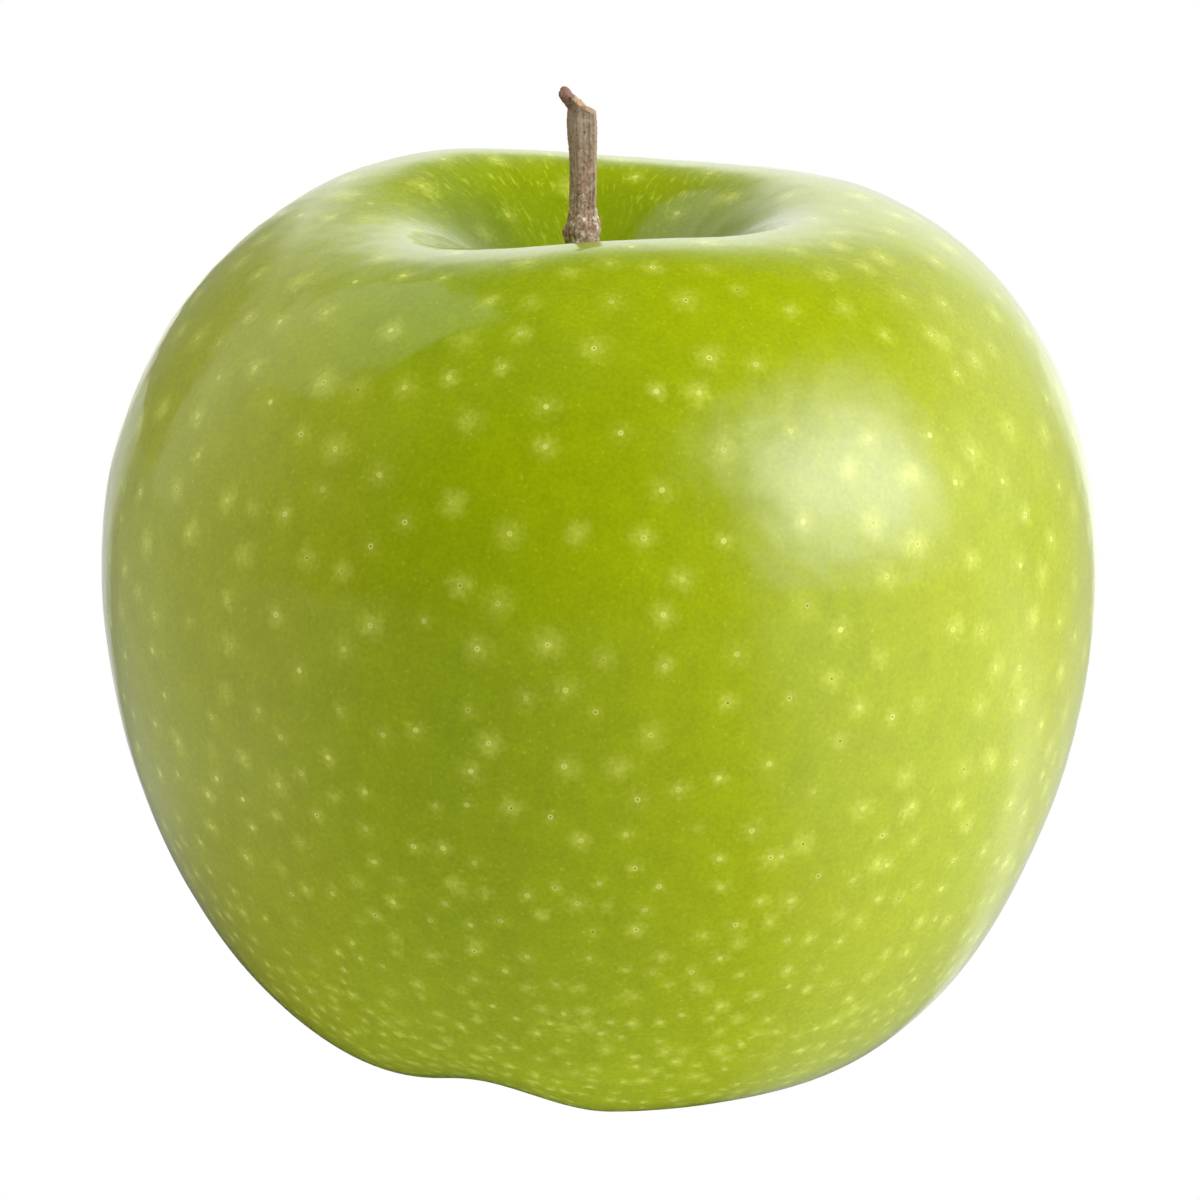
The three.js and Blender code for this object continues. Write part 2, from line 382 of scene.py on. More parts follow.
# Height in mm, and how many mm2 of skin one pore has there.
room_by_height = [(0, 3.8), (6, 4.4), (12, 6.0), (20, 9.5), (30, 16), (42, 24), (62, 28), (75, 28)]
room_in_cavity = 40
room_in_basin = 9
cavity_end = 0.75
basin_start = 3.45
nearest_share = 0.62
twin_share = 0.09
twin_nearest = 0.85
twin_spread = 0.3
throws = 26000


def ring_of(face):
    """The corners of a face in order, from the one with the lowest number."""
    ring = list(face.vertices)
    first = ring.index(min(ring))
    return ring[first:] + ring[:first]


# The faces are put in a fixed order and the places rounded, so that every run throws the same pores.
rings = sorted(ring_of(face) for face in apple.data.polygons)
corners = np.array([(ring[0], ring[i], ring[i + 1]) for ring in rings for i in range(1, len(ring) - 1)])
corner_places = np.round(apple_places / MM, 3)[corners]
sides = corner_places[:, 1:] - corner_places[:, :1]
areas = np.linalg.norm(np.cross(sides[:, 0], sides[:, 1]), axis=1) / 2
centre_heights = corner_places[:, :, 2].mean(1)
heights, rooms = np.array(room_by_height).T
room = np.interp(centre_heights, heights, rooms)
room[along[corners].mean(1) < cavity_end] = room_in_cavity
room[along[corners].mean(1) > basin_start] = room_in_basin
chance = areas / room
wanted = int(chance.sum())

picked = rng.choice(len(areas), size=throws, p=chance / chance.sum())
first_share = np.sqrt(rng.random(throws))
second_share = rng.random(throws)
thrown = (
    corner_places[picked, 0] * (1 - first_share)[:, None]
    + corner_places[picked, 1] * (first_share * (1 - second_share))[:, None]
    + corner_places[picked, 2] * (first_share * second_share)[:, None]
)
kept = np.zeros((0, 3))
kept_room = np.zeros(0)
for place, place_room in zip(thrown, room[picked]):
    if len(kept) >= wanted:
        break
    apart = np.linalg.norm(kept - place, axis=1)
    if np.all(apart > nearest_share * math.sqrt(place_room)):
        kept = np.vstack([kept, place])
        kept_room = np.append(kept_room, place_room)
twins = rng.random(len(kept)) < twin_share
twin_step = rng.normal(size=(twins.sum(), 3))
twin_reach = twin_nearest + twin_spread * rng.random(twins.sum())
twin_step *= (twin_reach / np.linalg.norm(twin_step, axis=1))[:, None]
pores = np.vstack([kept, kept[twins] + twin_step])
pore_room = np.append(kept_room, kept_room[twins])
print("pores:", len(pores), "of which twins:", twins.sum())

# %% [markdown]
# ## Telling each face about its pores
# A shader can draw a round dot if it knows where the dot's middle is. So each face of the skin is given
# the places and looks of its three nearest pores. The shader then measures the distance at every point,
# which draws a dot far finer than the faces are.

# %% Give each pore its look
# The halo's radius in mm, at no room and added at full room, and how much it differs from pore to pore.
full_room = 28
halo_least = 0.6
halo_growth = 1.4
halo_sizes = (0.7, 1.2)
pale_strengths = (0.25, 0.85)
ringed_share = 0.85
faint_ring = 0.1
# Most pores have a faint brown heart, and a few a dark one, more of them on the right.
faint_hearts = (0.05, 0.6)
dark_hearts = (0.8, 1)
dark_share = 0.14
dark_share_right = 0.1

spaciousness = np.sqrt(pore_room / full_room)
halo_reach = (halo_least + halo_growth * spaciousness) * rng.uniform(*halo_sizes, len(pores))
halo_strength = rng.uniform(*pale_strengths, len(pores))
ringed = rng.random(len(pores)) < ringed_share
ring_strength = np.where(ringed, rng.uniform(*pale_strengths, len(pores)), faint_ring)
ring_strength *= np.interp(pore_room, [4, 7, 14], [0.35, 0.65, 1])
openness = rng.uniform(*faint_hearts, len(pores))
dark = rng.random(len(pores)) < dark_share + dark_share_right * smooth_rise(pores[:, 0], -15, 25)
openness[dark] = rng.uniform(*dark_hearts, dark.sum())
openness *= np.interp(pore_room, [4, 9], [0.1, 1])

# %% Store the three nearest pores on each face
face_middles = read_rows(apple.data.polygons, "center") / MM
finder = finder_of(pores)
nearest = np.array([[hit[1] for hit in finder.find_n(middle, 3)] for middle in face_middles])


def store(piece, name, kind, domain, values):
    attribute = piece.data.attributes.new(name, kind, domain)
    field = "value" if kind == "FLOAT" else "vector"
    attribute.data.foreach_set(field, np.asarray(values, np.float32).ravel())


for rank in range(3):
    chosen = nearest[:, rank]
    look = np.stack([halo_reach[chosen], halo_strength[chosen], ring_strength[chosen]], axis=1)
    store(apple, f"pore_place_{rank}", "FLOAT_VECTOR", "FACE", pores[chosen])
    store(apple, f"pore_look_{rank}", "FLOAT_VECTOR", "FACE", look)
store(apple, "pore_openness", "FLOAT", "FACE", openness[nearest[:, 0]])
store(apple, "along", "FLOAT", "POINT", along)
apple.vertex_groups.clear()
print("faces that know their pores:", len(nearest))

# %% [markdown]
# ## Wiring shaders
# A shader is a tree of nodes. These helpers add one node each to the tree that was opened last, join what
# is passed to its inputs, and hand back its output.

# %% Node helpers
def open_tree(owner):
    """Empties the tree of a material or a world, and lets the helpers add to it."""
    global tree
    owner.use_nodes = True
    tree = owner.node_tree
    tree.nodes.clear()


def set_input(socket, value):
    if isinstance(value, bpy.types.NodeSocket):
        tree.links.new(value, socket)
    else:
        socket.default_value = value


def add_node(kind, inputs=None, **settings):
    node = tree.nodes.new("ShaderNode" + kind)
    for name, value in settings.items():
        setattr(node, name, value)
    for socket, value in (inputs or {}).items():
        set_input(node.inputs[socket], value)
    return node


def maths(operation, *values):
    return add_node("Math", dict(enumerate(values)), operation=operation).outputs[0]


def plus(total, *terms):
    for term in terms:
        total = maths("ADD", total, term)
    return total


def times(product, *factors):
    for factor in factors:
        product = maths("MULTIPLY", product, factor)
    return product


def stretch(value, factor, start):
    return maths("MULTIPLY_ADD", value, factor, start)


def vectors(operation, *values):
    """A vector sum, product or normal; Distance, Length and Dot give a number."""
    node = add_node("VectorMath", dict(enumerate(values)), operation=operation)
    is_number = operation in ("DISTANCE", "LENGTH", "DOT_PRODUCT")
    return node.outputs["Value" if is_number else "Vector"]


def scaled(vector, factor):
    return add_node("VectorMath", {0: vector, "Scale": factor}, operation="SCALE").outputs["Vector"]


def vector_of(**parts):
    return add_node("CombineXYZ", {name.upper(): part for name, part in parts.items()}).outputs[0]


def ramp(value, start, end, low=0.0, high=1.0):
    """Runs smoothly from low to high while the value runs from start to end."""
    inputs = {"Value": value, "From Min": start, "From Max": end, "To Min": low, "To Max": high}
    return add_node("MapRange", inputs, interpolation_type="SMOOTHSTEP", clamp=True).outputs["Result"]


def blend(share, first, second):
    node = add_node("Mix", data_type="RGBA")
    for name, value in {"Factor": share, "A": first, "B": second}.items():
        set_input(next(s for s in node.inputs if s.name == name and s.enabled), value)
    return next(s for s in node.outputs if s.enabled)


def speckle(place, scale, detail=2.0, roughness=0.5):
    inputs = {"Vector": place, "Scale": scale, "Detail": detail, "Roughness": roughness}
    return add_node("TexNoise", inputs).outputs["Fac"]


def colour(red, green, blue):
    """A colour from 0 to 255 screen values, as a shader needs it."""
    def to_light(value):
        share = value / 255
        return share / 12.92 if share <= 0.04045 else ((share + 0.055) / 1.055) ** 2.4

    return (to_light(red), to_light(green), to_light(blue), 1.0)


def new_material(name):
    material = bpy.data.materials.new(name)
    open_tree(material)
    return material


def named_value(name, output):
    return add_node("Attribute", attribute_name=name).outputs[output]


def parts_of(vector):
    return add_node("SeparateXYZ", {0: vector}).outputs


def place_in_mm():
    spot = add_node("TexCoord").outputs["Object"]
    return scaled(spot, 1 / MM)


def relief(height_in_mm, strength):
    inputs = {"Strength": strength, "Distance": MM, "Height": height_in_mm}
    return add_node("Bump", inputs).outputs[0]


def close_material(shader):
    add_node("OutputMaterial", {"Surface": shader.outputs[0]})


def close_with_surface(base, roughness, specular, normal, coat=None):
    inputs = {"Base Color": base, "Roughness": roughness, "Specular IOR Level": specular, "Normal": normal}
    close_material(add_node("BsdfPrincipled", inputs | (coat or {})))


def coat_with(piece, material):
    piece.data.materials.clear()
    piece.data.materials.append(material)


# %% [markdown]
# ## The skin's finish
# Apple skin is a clear wax over a thin green layer. A Principled shader has both: a smooth coat for the
# wax, and a duller base under it. The base's colour comes in layers: broad drifts of yellower and deeper
# green, painted light on the right and painted shade on the left and deep in the cavity, faint streaks
# from stem to base, fine grain, and then the pores with their halos. All of them follow the object's own
# coordinates or the attributes stored above, so nothing slides when the view changes.

# %% Colours of the skin
skin_green = colour(148, 165, 0)
skin_deep = colour(134, 154, 0)
# Yellow of riper skin, also used as painted light on the right side.
ripe_and_lit_yellow = colour(164, 173, 0)
# Painted shade: an olive green for the shaded left side.
painted_shade_olive = colour(152, 160, 0)
halo_green = colour(205, 214, 86)
ring_cream = colour(236, 238, 132)
streak_pale = colour(196, 208, 60)
# The cavity's own deeper green, darkened further as painted shade in the hollow.
cavity_green_and_shade = colour(96, 120, 0)
pore_brown = colour(120, 58, 6)
russet_brown = colour(146, 118, 52)


# %% Draw the pores in the shader
# The halo's edge strays by noise and fades by a power. Ring and heart fade between two distances in mm.
stray_scale = 1.5
stray_reach = 1.0
halo_power = 1.5
ring_fade = (0.12, 0.32, 1, 0)
heart_fade = (0.03, 0.14, 1, 0)


def pore_marks(spot):
    """Halo, ring and heart of the pores, each from 0 to 1."""
    inputs = {"Vector": spot, "Scale": stray_scale, "Detail": 0.0}
    stray = add_node("TexNoise", inputs).outputs["Color"]
    stray = vectors("SUBTRACT", stray, (0.5, 0.5, 0.5))
    rough_spot = vectors("ADD", spot, scaled(stray, stray_reach))
    clear = 1.0
    for rank in range(3):
        centre = named_value(f"pore_place_{rank}", "Vector")
        halo_size, strength, _ = parts_of(named_value(f"pore_look_{rank}", "Vector"))
        away = vectors("DISTANCE", rough_spot, centre)
        closeness = ramp(maths("DIVIDE", away, halo_size), 0, 1, 1, 0)
        glow = times(maths("POWER", closeness, halo_power), strength)
        clear = times(clear, maths("SUBTRACT", 1, glow))
    halo = maths("SUBTRACT", 1.0, clear)

    ring_strength_here = parts_of(named_value("pore_look_0", "Vector"))[2]
    away = vectors("DISTANCE", spot, named_value("pore_place_0", "Vector"))
    ring = times(ramp(away, *ring_fade), ring_strength_here)
    heart = ramp(away, *heart_fade)
    return halo, ring, heart


# %% Say where the skin changes colour
# Each runs between two places, in mm or along the outline, from one share to another.
riper_downwards = (74, 8, 0, 0.2)
# Painted light: the right side, towards the key light, is made yellower and lighter.
painted_light_rightwards = (-15, 38, 0, 0.7)
# Painted shade: the left side is made more olive.
painted_shade_leftwards = (-10, -32, 0, 0.9)
# Partly the cavity's own deeper green and partly painted shade in the hollow.
deep_and_shaded_in_cavity = (0.55, 1, 0.55, 0)
streaks_begin = (0.3, 0.55)
streaks_end = (0.75, 1, 1, 0)
russet_by_stem = (0.35, 0.62, 1, 0)
russet_by_calyx = (3.75, 4.1)
# How much each layer covers the one below it.
drift_cover = 0.55
streak_cover = 0.6
halo_cover = 0.8
ring_cover = 0.7
russet_cover = 0.7
# How fine each pattern is, and the height of the peel in mm.
drift_scale = 0.06
streaks_round = 38.0
streaks_along = 15.0
cloud_scale = 0.36
grain_scale = 2.8
peel_scale = 0.55
peel_height = 0.035


# %% Mix the apple skin
def make_apple_skin():
    material = new_material("waxed_apple_skin")
    spot = place_in_mm()
    along_skin = named_value("along", "Fac")
    side_x, side_y, height = parts_of(spot)

    # Yellower towards the base. Painted light makes the right yellower, and painted shade makes the
    # left more olive.
    ripeness_and_lit_side = plus(ramp(height, *riper_downwards), ramp(side_x, *painted_light_rightwards))
    base = blend(ripeness_and_lit_side, skin_deep, ripe_and_lit_yellow)
    drift_noise = speckle(spot, drift_scale, 1)
    base = blend(times(ramp(drift_noise, 0.3, 0.7), drift_cover), base, skin_green)
    base = blend(ramp(side_x, *painted_shade_leftwards), base, painted_shade_olive)

    # Streaks follow the line from stem to base: fine round the axis, long along the skin.
    round_axis = scaled(vectors("NORMALIZE", vector_of(x=side_x, y=side_y)), streaks_round)
    lengthwise = vector_of(z=times(along_skin, streaks_along))
    streaks = speckle(vectors("ADD", round_axis, lengthwise), 1, 1, 0.6)
    in_cavity = times(ramp(along_skin, *streaks_begin), ramp(along_skin, *streaks_end))
    in_patches = ramp(drift_noise, 0.35, 0.55)
    dashes = times(ramp(streaks, 0.55, 0.7), in_cavity, in_patches, streak_cover)
    base = blend(dashes, base, streak_pale)
    # Deeper green in the cavity, partly its own colour and partly painted shade.
    base = blend(ramp(along_skin, *deep_and_shaded_in_cavity), base, cavity_green_and_shade)

    # Grain: every patch of skin is a little lighter or darker than the next.
    cloudy = speckle(spot, cloud_scale, 1, 0.6)
    grain = speckle(spot, grain_scale, 1, 0.7)
    shade = times(stretch(cloudy, 0.2, 0.9), stretch(grain, 0.36, 0.82), stretch(streaks, 0.08, 0.96))
    base = vectors("MULTIPLY", base, vector_of(x=shade, y=shade, z=shade))

    # Tiny pale flecks between the pores, where the grain runs highest.
    base = blend(ramp(grain, 0.69, 0.79, 0, 0.22), base, halo_green)

    halo, ring, heart = pore_marks(spot)
    grainy_halo = times(halo, stretch(grain, 0.9, 0.2), halo_cover)
    base = blend(grainy_halo, base, halo_green)
    base = blend(times(ring, ring_cover), base, ring_cream)
    openness_here = named_value("pore_openness", "Fac")
    base = blend(times(heart, openness_here), base, pore_brown)

    # Russet in the depth of the cavity, round the stem, and round the calyx.
    ragged_along = plus(along_skin, times(plus(streaks, grain), 0.25))
    by_stem = ramp(ragged_along, *russet_by_stem)
    by_calyx = ramp(ragged_along, *russet_by_calyx)
    russet = times(maths("MAXIMUM", by_stem, by_calyx), russet_cover)
    base = blend(russet, base, russet_brown)

    # The wax is smooth but for a soft orange peel. Russet and rings are duller than the rest.
    peel = relief(times(speckle(spot, peel_scale, 0), peel_height), 1)
    dullness = stretch(maths("MAXIMUM", russet, ring), 0.2, 0.42)
    wax = {"Coat Weight": 1, "Coat Roughness": 0.085, "Coat IOR": 1.5, "Coat Normal": peel}
    close_with_surface(base, dullness, 0.1, peel, wax)
    return material


coat_with(apple, make_apple_skin())
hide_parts("fruit")
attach(apple, "root")
print("skin nodes:", len(apple.data.materials[0].node_tree.nodes))

# %% [markdown]
# ## The stem
# The stem is a short woody stalk: thick where it grows out of the flesh, knuckled by an old scar, slim
# above that, and broken off on a slant beside a stub of a bud spur. A curve with a round bevel gives a
# stalk of any thickness, because each point of the curve has its own radius. A plane cuts the break. The
# spur is a second stalk, and a voxel remesh grows the two into one skin with even faces, which the bark's
# relief needs.

# %% Grow the shaft and the spur
shaft_radius = 1.1 * MM
knuckle_height = 70 * MM
stem_path = np.array(
    [(-1.3, 0, 58), (-1.3, 0, 64), (-1.36, 0.1, 70), (-1.3, 0.1, 75), (-1.42, 0, 80.5), (-1.46, 0, 83)]
) * MM
# The height of each thicker part, how far it reaches up and down, and how much it adds to the radius.
root = (stem_path[0][2], 14 * MM, 1.6 * MM - shaft_radius)
knuckle = (knuckle_height, 2.1 * MM, 0.45 * MM)
head = (78.7 * MM, 2.5 * MM, 0.12 * MM)
break_side, _, shaft_end = stem_path[4]
break_slope = -0.7
spur_path = np.array(
    [(-1.6, 0, 79.3), (-2, -0.02, 80.3), (-2.55, -0.06, 81.02), (-2.98, -0.09, 81.52), (-3.14, -0.1, 81.74)]
) * MM
spur_radii = np.array([0.66, 0.55, 0.47, 0.46, 0.26]) * MM
shaft_steps = 40
spur_steps = 10
stem_voxel = 0.085 * MM


def stem_radius(height):
    """Thick at the root, knuckled above the cavity's floor, and a little wider at its head."""
    grown = [nearness(height, place, reach) * growth for place, reach, growth in (root, knuckle, head)]
    return shaft_radius + np.maximum(grown[0], grown[1]) + grown[2]


def between(points, share):
    """A place on a smooth line through the points, at a share of its length from 0 to 1."""
    points = np.asarray(points, float)
    step = np.clip(share, 0, 1) * (len(points) - 1)
    first = min(int(step), len(points) - 2)
    t = step - first
    before = points[max(first - 1, 0)]
    after = points[min(first + 2, len(points) - 1)]
    a, b = points[first], points[first + 1]
    return 0.5 * (
        2 * a
        + (b - before) * t
        + (2 * before - 5 * a + 4 * b - after) * t * t
        + (3 * a - before - 3 * b + after) * t * t * t
    )


def smooth_line(points, steps):
    return [between(points, step / steps) for step in range(steps + 1)]


def grow_stalk(name, path, radii, roundness):
    """A round stalk along a path, made a mesh, with its own radius at each point."""
    stalk = add_curve(name, len(path), 4, "AUTO")
    stalk.data.bevel_depth = 1
    stalk.data.bevel_resolution = roundness
    stalk.data.use_fill_caps = True
    for point, place, radius in zip(stalk.data.splines[0].bezier_points, path, radii):
        point.co = place
        point.radius = radius
    bpy.ops.object.convert(target="MESH")
    return bpy.context.object


shaft_places = smooth_line(stem_path, shaft_steps)
shaft = grow_stalk("woody_stem", shaft_places, [stem_radius(place[2]) for place in shaft_places], 6)
break_place = (break_side, 0, shaft_end)
across_break = (-break_slope, 0, 1)
with editing():
    bpy.ops.mesh.bisect(plane_co=break_place, plane_no=across_break, clear_outer=True, use_fill=True)

spur_shares = np.linspace(0, 1, spur_steps + 1)
spur_girths = np.interp(spur_shares, np.linspace(0, 1, len(spur_radii)), spur_radii)
spur = grow_stalk("bud_spur", smooth_line(spur_path, spur_steps), spur_girths, 6)
select_only(shaft)
spur.select_set(True)
bpy.ops.object.join()
stem = bpy.context.object
stem.data.remesh_voxel_size = stem_voxel
bpy.ops.object.voxel_remesh()
print("stem faces:", len(stem.data.polygons))

# %% [markdown]
# ## Bark
# Bark is not round. The shaft has five blunt edges that run its whole length, fine fibres between them,
# and lumps and scurf on the knuckle. Each is a small push along the vertex normals, by noise that is
# stretched lengthwise for fibres and left as it is for scurf.

# %% Raise the edges, fibres and scurf
edge_bearing = math.radians(-113)
edge_count = 5
edge_depth = 1.15
edge_level = 0.9
shaft_limit = 1.75 * MM
# Fibres, fine fibres, lumps, scurf and grit. For each, the fineness of its noise per mm round and along
# the stem, its seed, its depth everywhere and what the knuckle adds to that.
bark_layers = [
    (1.5, 0.16, 0, 0.08 * MM, 0),
    (4.5, 0.5, 7.1, 0.036 * MM, 0),
    (0.95, 0.8, 3.3, 0, 0.24 * MM),
    (2.6, 2.2, 5.7, 0.025 * MM, 0.1 * MM),
    (6, 5, 9.2, 0.035 * MM, 0),
]


def noise_at(places, sideways, lengthwise, seed=0.0):
    """Noise from -1 to 1 at each place, with its own scale per mm round and along the stem."""
    scale = np.array([sideways, sideways, lengthwise]) / MM
    return np.array([noise.noise(Vector(place) + Vector((seed, seed, seed))) for place in places * scale])


places = read_places(stem)
heights = places[:, 2]
centre_x, centre_y = [
    np.interp(heights, [place[2] for place in shaft_places], [place[axis] for place in shaft_places])
    for axis in (0, 1)
]
from_centre_x = places[:, 0] - centre_x
from_centre_y = places[:, 1] - centre_y
turn = np.arctan2(from_centre_y, from_centre_x)
on_shaft = np.hypot(from_centre_x, from_centre_y) < shaft_limit
sector = 2 * math.pi / edge_count
from_edge = np.mod(turn - edge_bearing, sector) - sector / 2
blunt_edge = np.cos(sector / 2) / np.cos(from_edge)
push = np.where(on_shaft, (blunt_edge - edge_level) * edge_depth * shaft_radius, 0)
on_knuckle = nearness(heights, knuckle_height, 2.6 * MM)
for sideways, lengthwise, seed, depth, added in bark_layers:
    push += noise_at(places, sideways, lengthwise, seed) * (depth + added * on_knuckle)
push_out(stem, places, push)
bpy.ops.object.shade_smooth()
print_box("stem", read_places(stem))

# %% [markdown]
# The bark is warm brown in the fibres, pale where it has flaked, whitish with scurf low down and greyer
# at the head. The torn wood of the break is straw-coloured, and the spur's end reddish.

# %% Mix the bark
bark_dark = colour(106, 82, 58)
bark_warm = colour(166, 138, 110)
bark_pale = colour(214, 193, 168)
bark_grey = colour(150, 138, 122)
scurf_white = colour(228, 219, 202)
torn_wood = colour(190, 158, 112)
spur_red = colour(132, 84, 72)
# Where these begin and end, in mm of height, and their shares there.
head_heights = (74.5, 78.5)
low_heights = (74.5, 70.5)
pale_heights = (71, 78, 0.75, 0.2)
# The bark grows darker towards the break at its top.
darker_top_heights = (79.2, 80.6)
# And these from side to side, and across the plane of the break.
spur_sides = (-2.1, -2.9)
torn_from_spur = (-2.25, -1.9)
torn_to_right = (-1.6, -0.5, 1, 0.25)
torn_depths = (-0.1, 0)


def make_bark():
    material = new_material("dry_bark")
    spot = place_in_mm()
    x, _, height = parts_of(spot)
    drawn = {"Vector": spot, "Scale": (1.0, 1.0, 0.12)}
    drawn = add_node("Mapping", drawn, vector_type="POINT").outputs[0]
    fibres = speckle(drawn, 2.6, 3, 0.65)
    specks = speckle(spot, 3.4, 3, 0.7)
    bark = blend(ramp(fibres, 0.22, 0.62), bark_dark, bark_warm)
    pale = times(ramp(specks, 0.48, 0.66), ramp(height, *pale_heights))
    bark = blend(pale, bark, bark_pale)
    bark = blend(times(ramp(height, *head_heights), 0.5), bark, bark_grey)
    # Darker towards the break at the top.
    bark = blend(times(ramp(height, *darker_top_heights), 0.5), bark, bark_dark)

    flakes = ramp(speckle(spot, 2.1, 4, 0.75), 0.53, 0.62)
    low_part = ramp(height, *low_heights)
    flakes = times(flakes, stretch(low_part, 0.75, 0.2))
    bark = blend(flakes, bark, scurf_white)
    pits = ramp(speckle(spot, 2.9, 2, 0.6), 0.42, 0.34)
    bark = blend(times(pits, 0.6), bark, bark_dark)

    # The break is a slanting plane, so its height above that plane tells torn wood from bark.
    fall = times(plus(x, -break_side / MM), break_slope)
    above = maths("SUBTRACT", maths("SUBTRACT", height, shaft_end / MM), fall)
    torn = times(ramp(above, *torn_depths), ramp(x, *torn_from_spur), ramp(x, *torn_to_right))
    torn = times(torn, ramp(specks, 0.3, 0.55, 0.45, 1))
    bark = blend(torn, bark, torn_wood)
    bark = blend(times(ramp(x, *spur_sides), 0.6), bark, spur_red)

    rough = plus(times(fibres, 0.04), times(specks, 0.025))
    close_with_surface(bark, 0.78, 0.3, relief(rough, 0.9))
    return material


coat_with(stem, make_bark())
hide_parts("stem")
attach(stem, "root")

# %% [markdown]
# ## The calyx
# In the basin, five sepals of the old flower still stand round a low collar. A sepal starts as a flat
# grid. Its rows are laid along a line that comes down out of the basin and curls outwards, its width
# tapers to a point, and a rib and side veins are raised on it. Solidify gives the blade its thickness and
# Subdivision rounds it. Each copy of it is bent in its own way.

# %% Shape one sepal
# Distance from the axis, height in mm, and share of the full width, along the middle of a sepal.
sepal_line = [(3, 7.1, 0.9), (3.15, 6, 1), (3.05, 4.9, 0.86)]
sepal_line += [(3.35, 3.8, 0.62), (4.25, 3, 0.38), (5.15, 2.95, 0.1)]
sepal_half_width = 1.45
sepal_thickness = 0.42
sepal_rows = 24
sepal_columns = 10
# The waves of its edges, its rib and veins, and how far its edges bend inwards.
edge_wave = 0.06
edge_waves = 23
rib_height = 0.16
rib_width = 0.16
vein_height = 0.05
vein_waves = 14
cupping = 0.38


def make_sepal():
    select_nothing()
    bpy.ops.mesh.primitive_grid_add(x_subdivisions=sepal_columns, y_subdivisions=sepal_rows, size=2)
    sepal = bpy.context.object
    flat = read_places(sepal)
    shaped = []
    for across, upright, _ in flat:
        share = (upright + 1) / 2
        middle = between(sepal_line, share)
        ahead = between(sepal_line, share + 0.02) - between(sepal_line, share - 0.02)
        ahead = ahead[:2] / np.linalg.norm(ahead[:2])
        outwards = np.array([-ahead[1], ahead[0]])
        half = sepal_half_width * middle[2] * (1 + edge_wave * math.sin(share * edge_waves + across))
        rib = rib_height * math.exp(-((across / rib_width) ** 2))
        rib += vein_height * math.cos(across * vein_waves)
        out = rib * (1 - share) - cupping * half * across * across
        radius, height = middle[:2] + outwards * out
        shaped.append((radius, across * half, height))
    write_places(sepal, np.array(shaped) * MM)
    wall = sepal.modifiers.new("blade_thickness", "SOLIDIFY")
    wall.thickness = sepal_thickness * MM
    wall.offset = 0
    rounding = sepal.modifiers.new("rounding", "SUBSURF")
    rounding.levels = 1
    rounding.render_levels = 1
    finish_modifiers(sepal)
    return sepal


sepal = make_sepal()
print("sepal faces:", len(sepal.data.polygons))

# %% Copy the sepals round the collar
sepal_count = 5
first_sepal = -70
sepal_top = 7.1 * MM
sepal_fall = 4.2 * MM
lean_limit = 0.35 * MM
pinch_limit = 0.5 * MM
crumple_depth = 0.16 * MM
collar_height = 7.0 * MM
collar_radius = 3.0 * MM
collar_thickness = 0.5 * MM
collar_crumple = 0.12 * MM
calyx_rng = np.random.default_rng(52)

sepals = [sepal]
for _ in range(sepal_count - 1):
    copy = sepal.copy()
    copy.data = sepal.data.copy()
    bpy.context.collection.objects.link(copy)
    sepals.append(copy)
for index, blade in enumerate(sepals):
    places = read_places(blade)
    tip_share = np.clip((sepal_top - places[:, 2]) / sepal_fall, 0, 1)
    lean = calyx_rng.uniform(-lean_limit, lean_limit)
    places[:, 0] += tip_share**2 * calyx_rng.uniform(-pinch_limit, 0.0)
    places[:, 1] += tip_share**2 * lean
    angle = math.radians(first_sepal + index * 360 / sepal_count)
    turned = places.copy()
    turned[:, 0] = places[:, 0] * math.cos(angle) - places[:, 1] * math.sin(angle)
    turned[:, 1] = places[:, 0] * math.sin(angle) + places[:, 1] * math.cos(angle)
    push_out(blade, turned, noise_at(turned, 0.8, 0.8, 2 + index) * crumple_depth)

select_nothing()
bpy.ops.mesh.primitive_torus_add(
    major_segments=72,
    minor_segments=16,
    major_radius=collar_radius,
    minor_radius=collar_thickness,
    location=(0, 0, collar_height),
)
bpy.ops.object.transform_apply()
collar = bpy.context.object
places = read_places(collar)
push_out(collar, places, noise_at(places, 1.2, 1.2) * collar_crumple)
for blade in sepals:
    blade.select_set(True)
bpy.ops.object.join()
calyx = bpy.context.object
calyx.name = "dry_calyx"
bpy.ops.object.shade_smooth()
print_box("calyx", read_places(calyx))

# %% Mix the finish of dry sepals
sepal_brown = colour(112, 84, 50)
sepal_dark = colour(66, 47, 28)
sepal_down = colour(196, 186, 150)


def make_dry_finish(name, brown, dark, down, down_share):
    """A dry, papery brown with a faint pale down."""
    material = new_material(name)
    spot = place_in_mm()
    blotches = ramp(speckle(spot, 0.8, 3, 0.6), 0.36, 0.64)
    dry = blend(blotches, dark, brown)
    hairs = ramp(speckle(spot, 5.5, 2, 0.8), 0.52, 0.66)
    dry = blend(times(hairs, down_share), dry, down)
    close_with_surface(dry, 0.85, 0.2, relief(times(hairs, 0.05), 0.8))
    return material


coat_with(calyx, make_dry_finish("dry_sepal", sepal_brown, sepal_dark, sepal_down, 0.6))
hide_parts("calyx")
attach(calyx, "root")

# %% [markdown]
# ## The stamens
# Inside the sepals is a tuft of withered threads, each with a dry anther at its end. They are thin stalks
# like the stem's, bent at random from a seed, so that every run gives the same tuft. A small plug in the
# calyx tube holds their upper ends.

# %% Grow the tuft
stamen_count = 14
stamen_radius = 0.14 * MM
anther_radius = 0.34 * MM
anther_stretch = (0.8, 0.62, 1)
plug_radius = 1.35 * MM
plug_top = 11.6 * MM
plug_depth = 1.1 * MM
plug_edge = 0.15 * MM
# Where a thread starts and the least and most where it ends, in mm from the axis. Every third is inner.
inner_thread = (0.4, 0.5, 0.8)
outer_thread = (0.9, 1.1, 1.4)
lowest_end = 5.55
end_spread = 1.3
kink_limit = 0.22
tilt_limit = 0.5
thread_steps = 9
tuft_rng = np.random.default_rng(8)


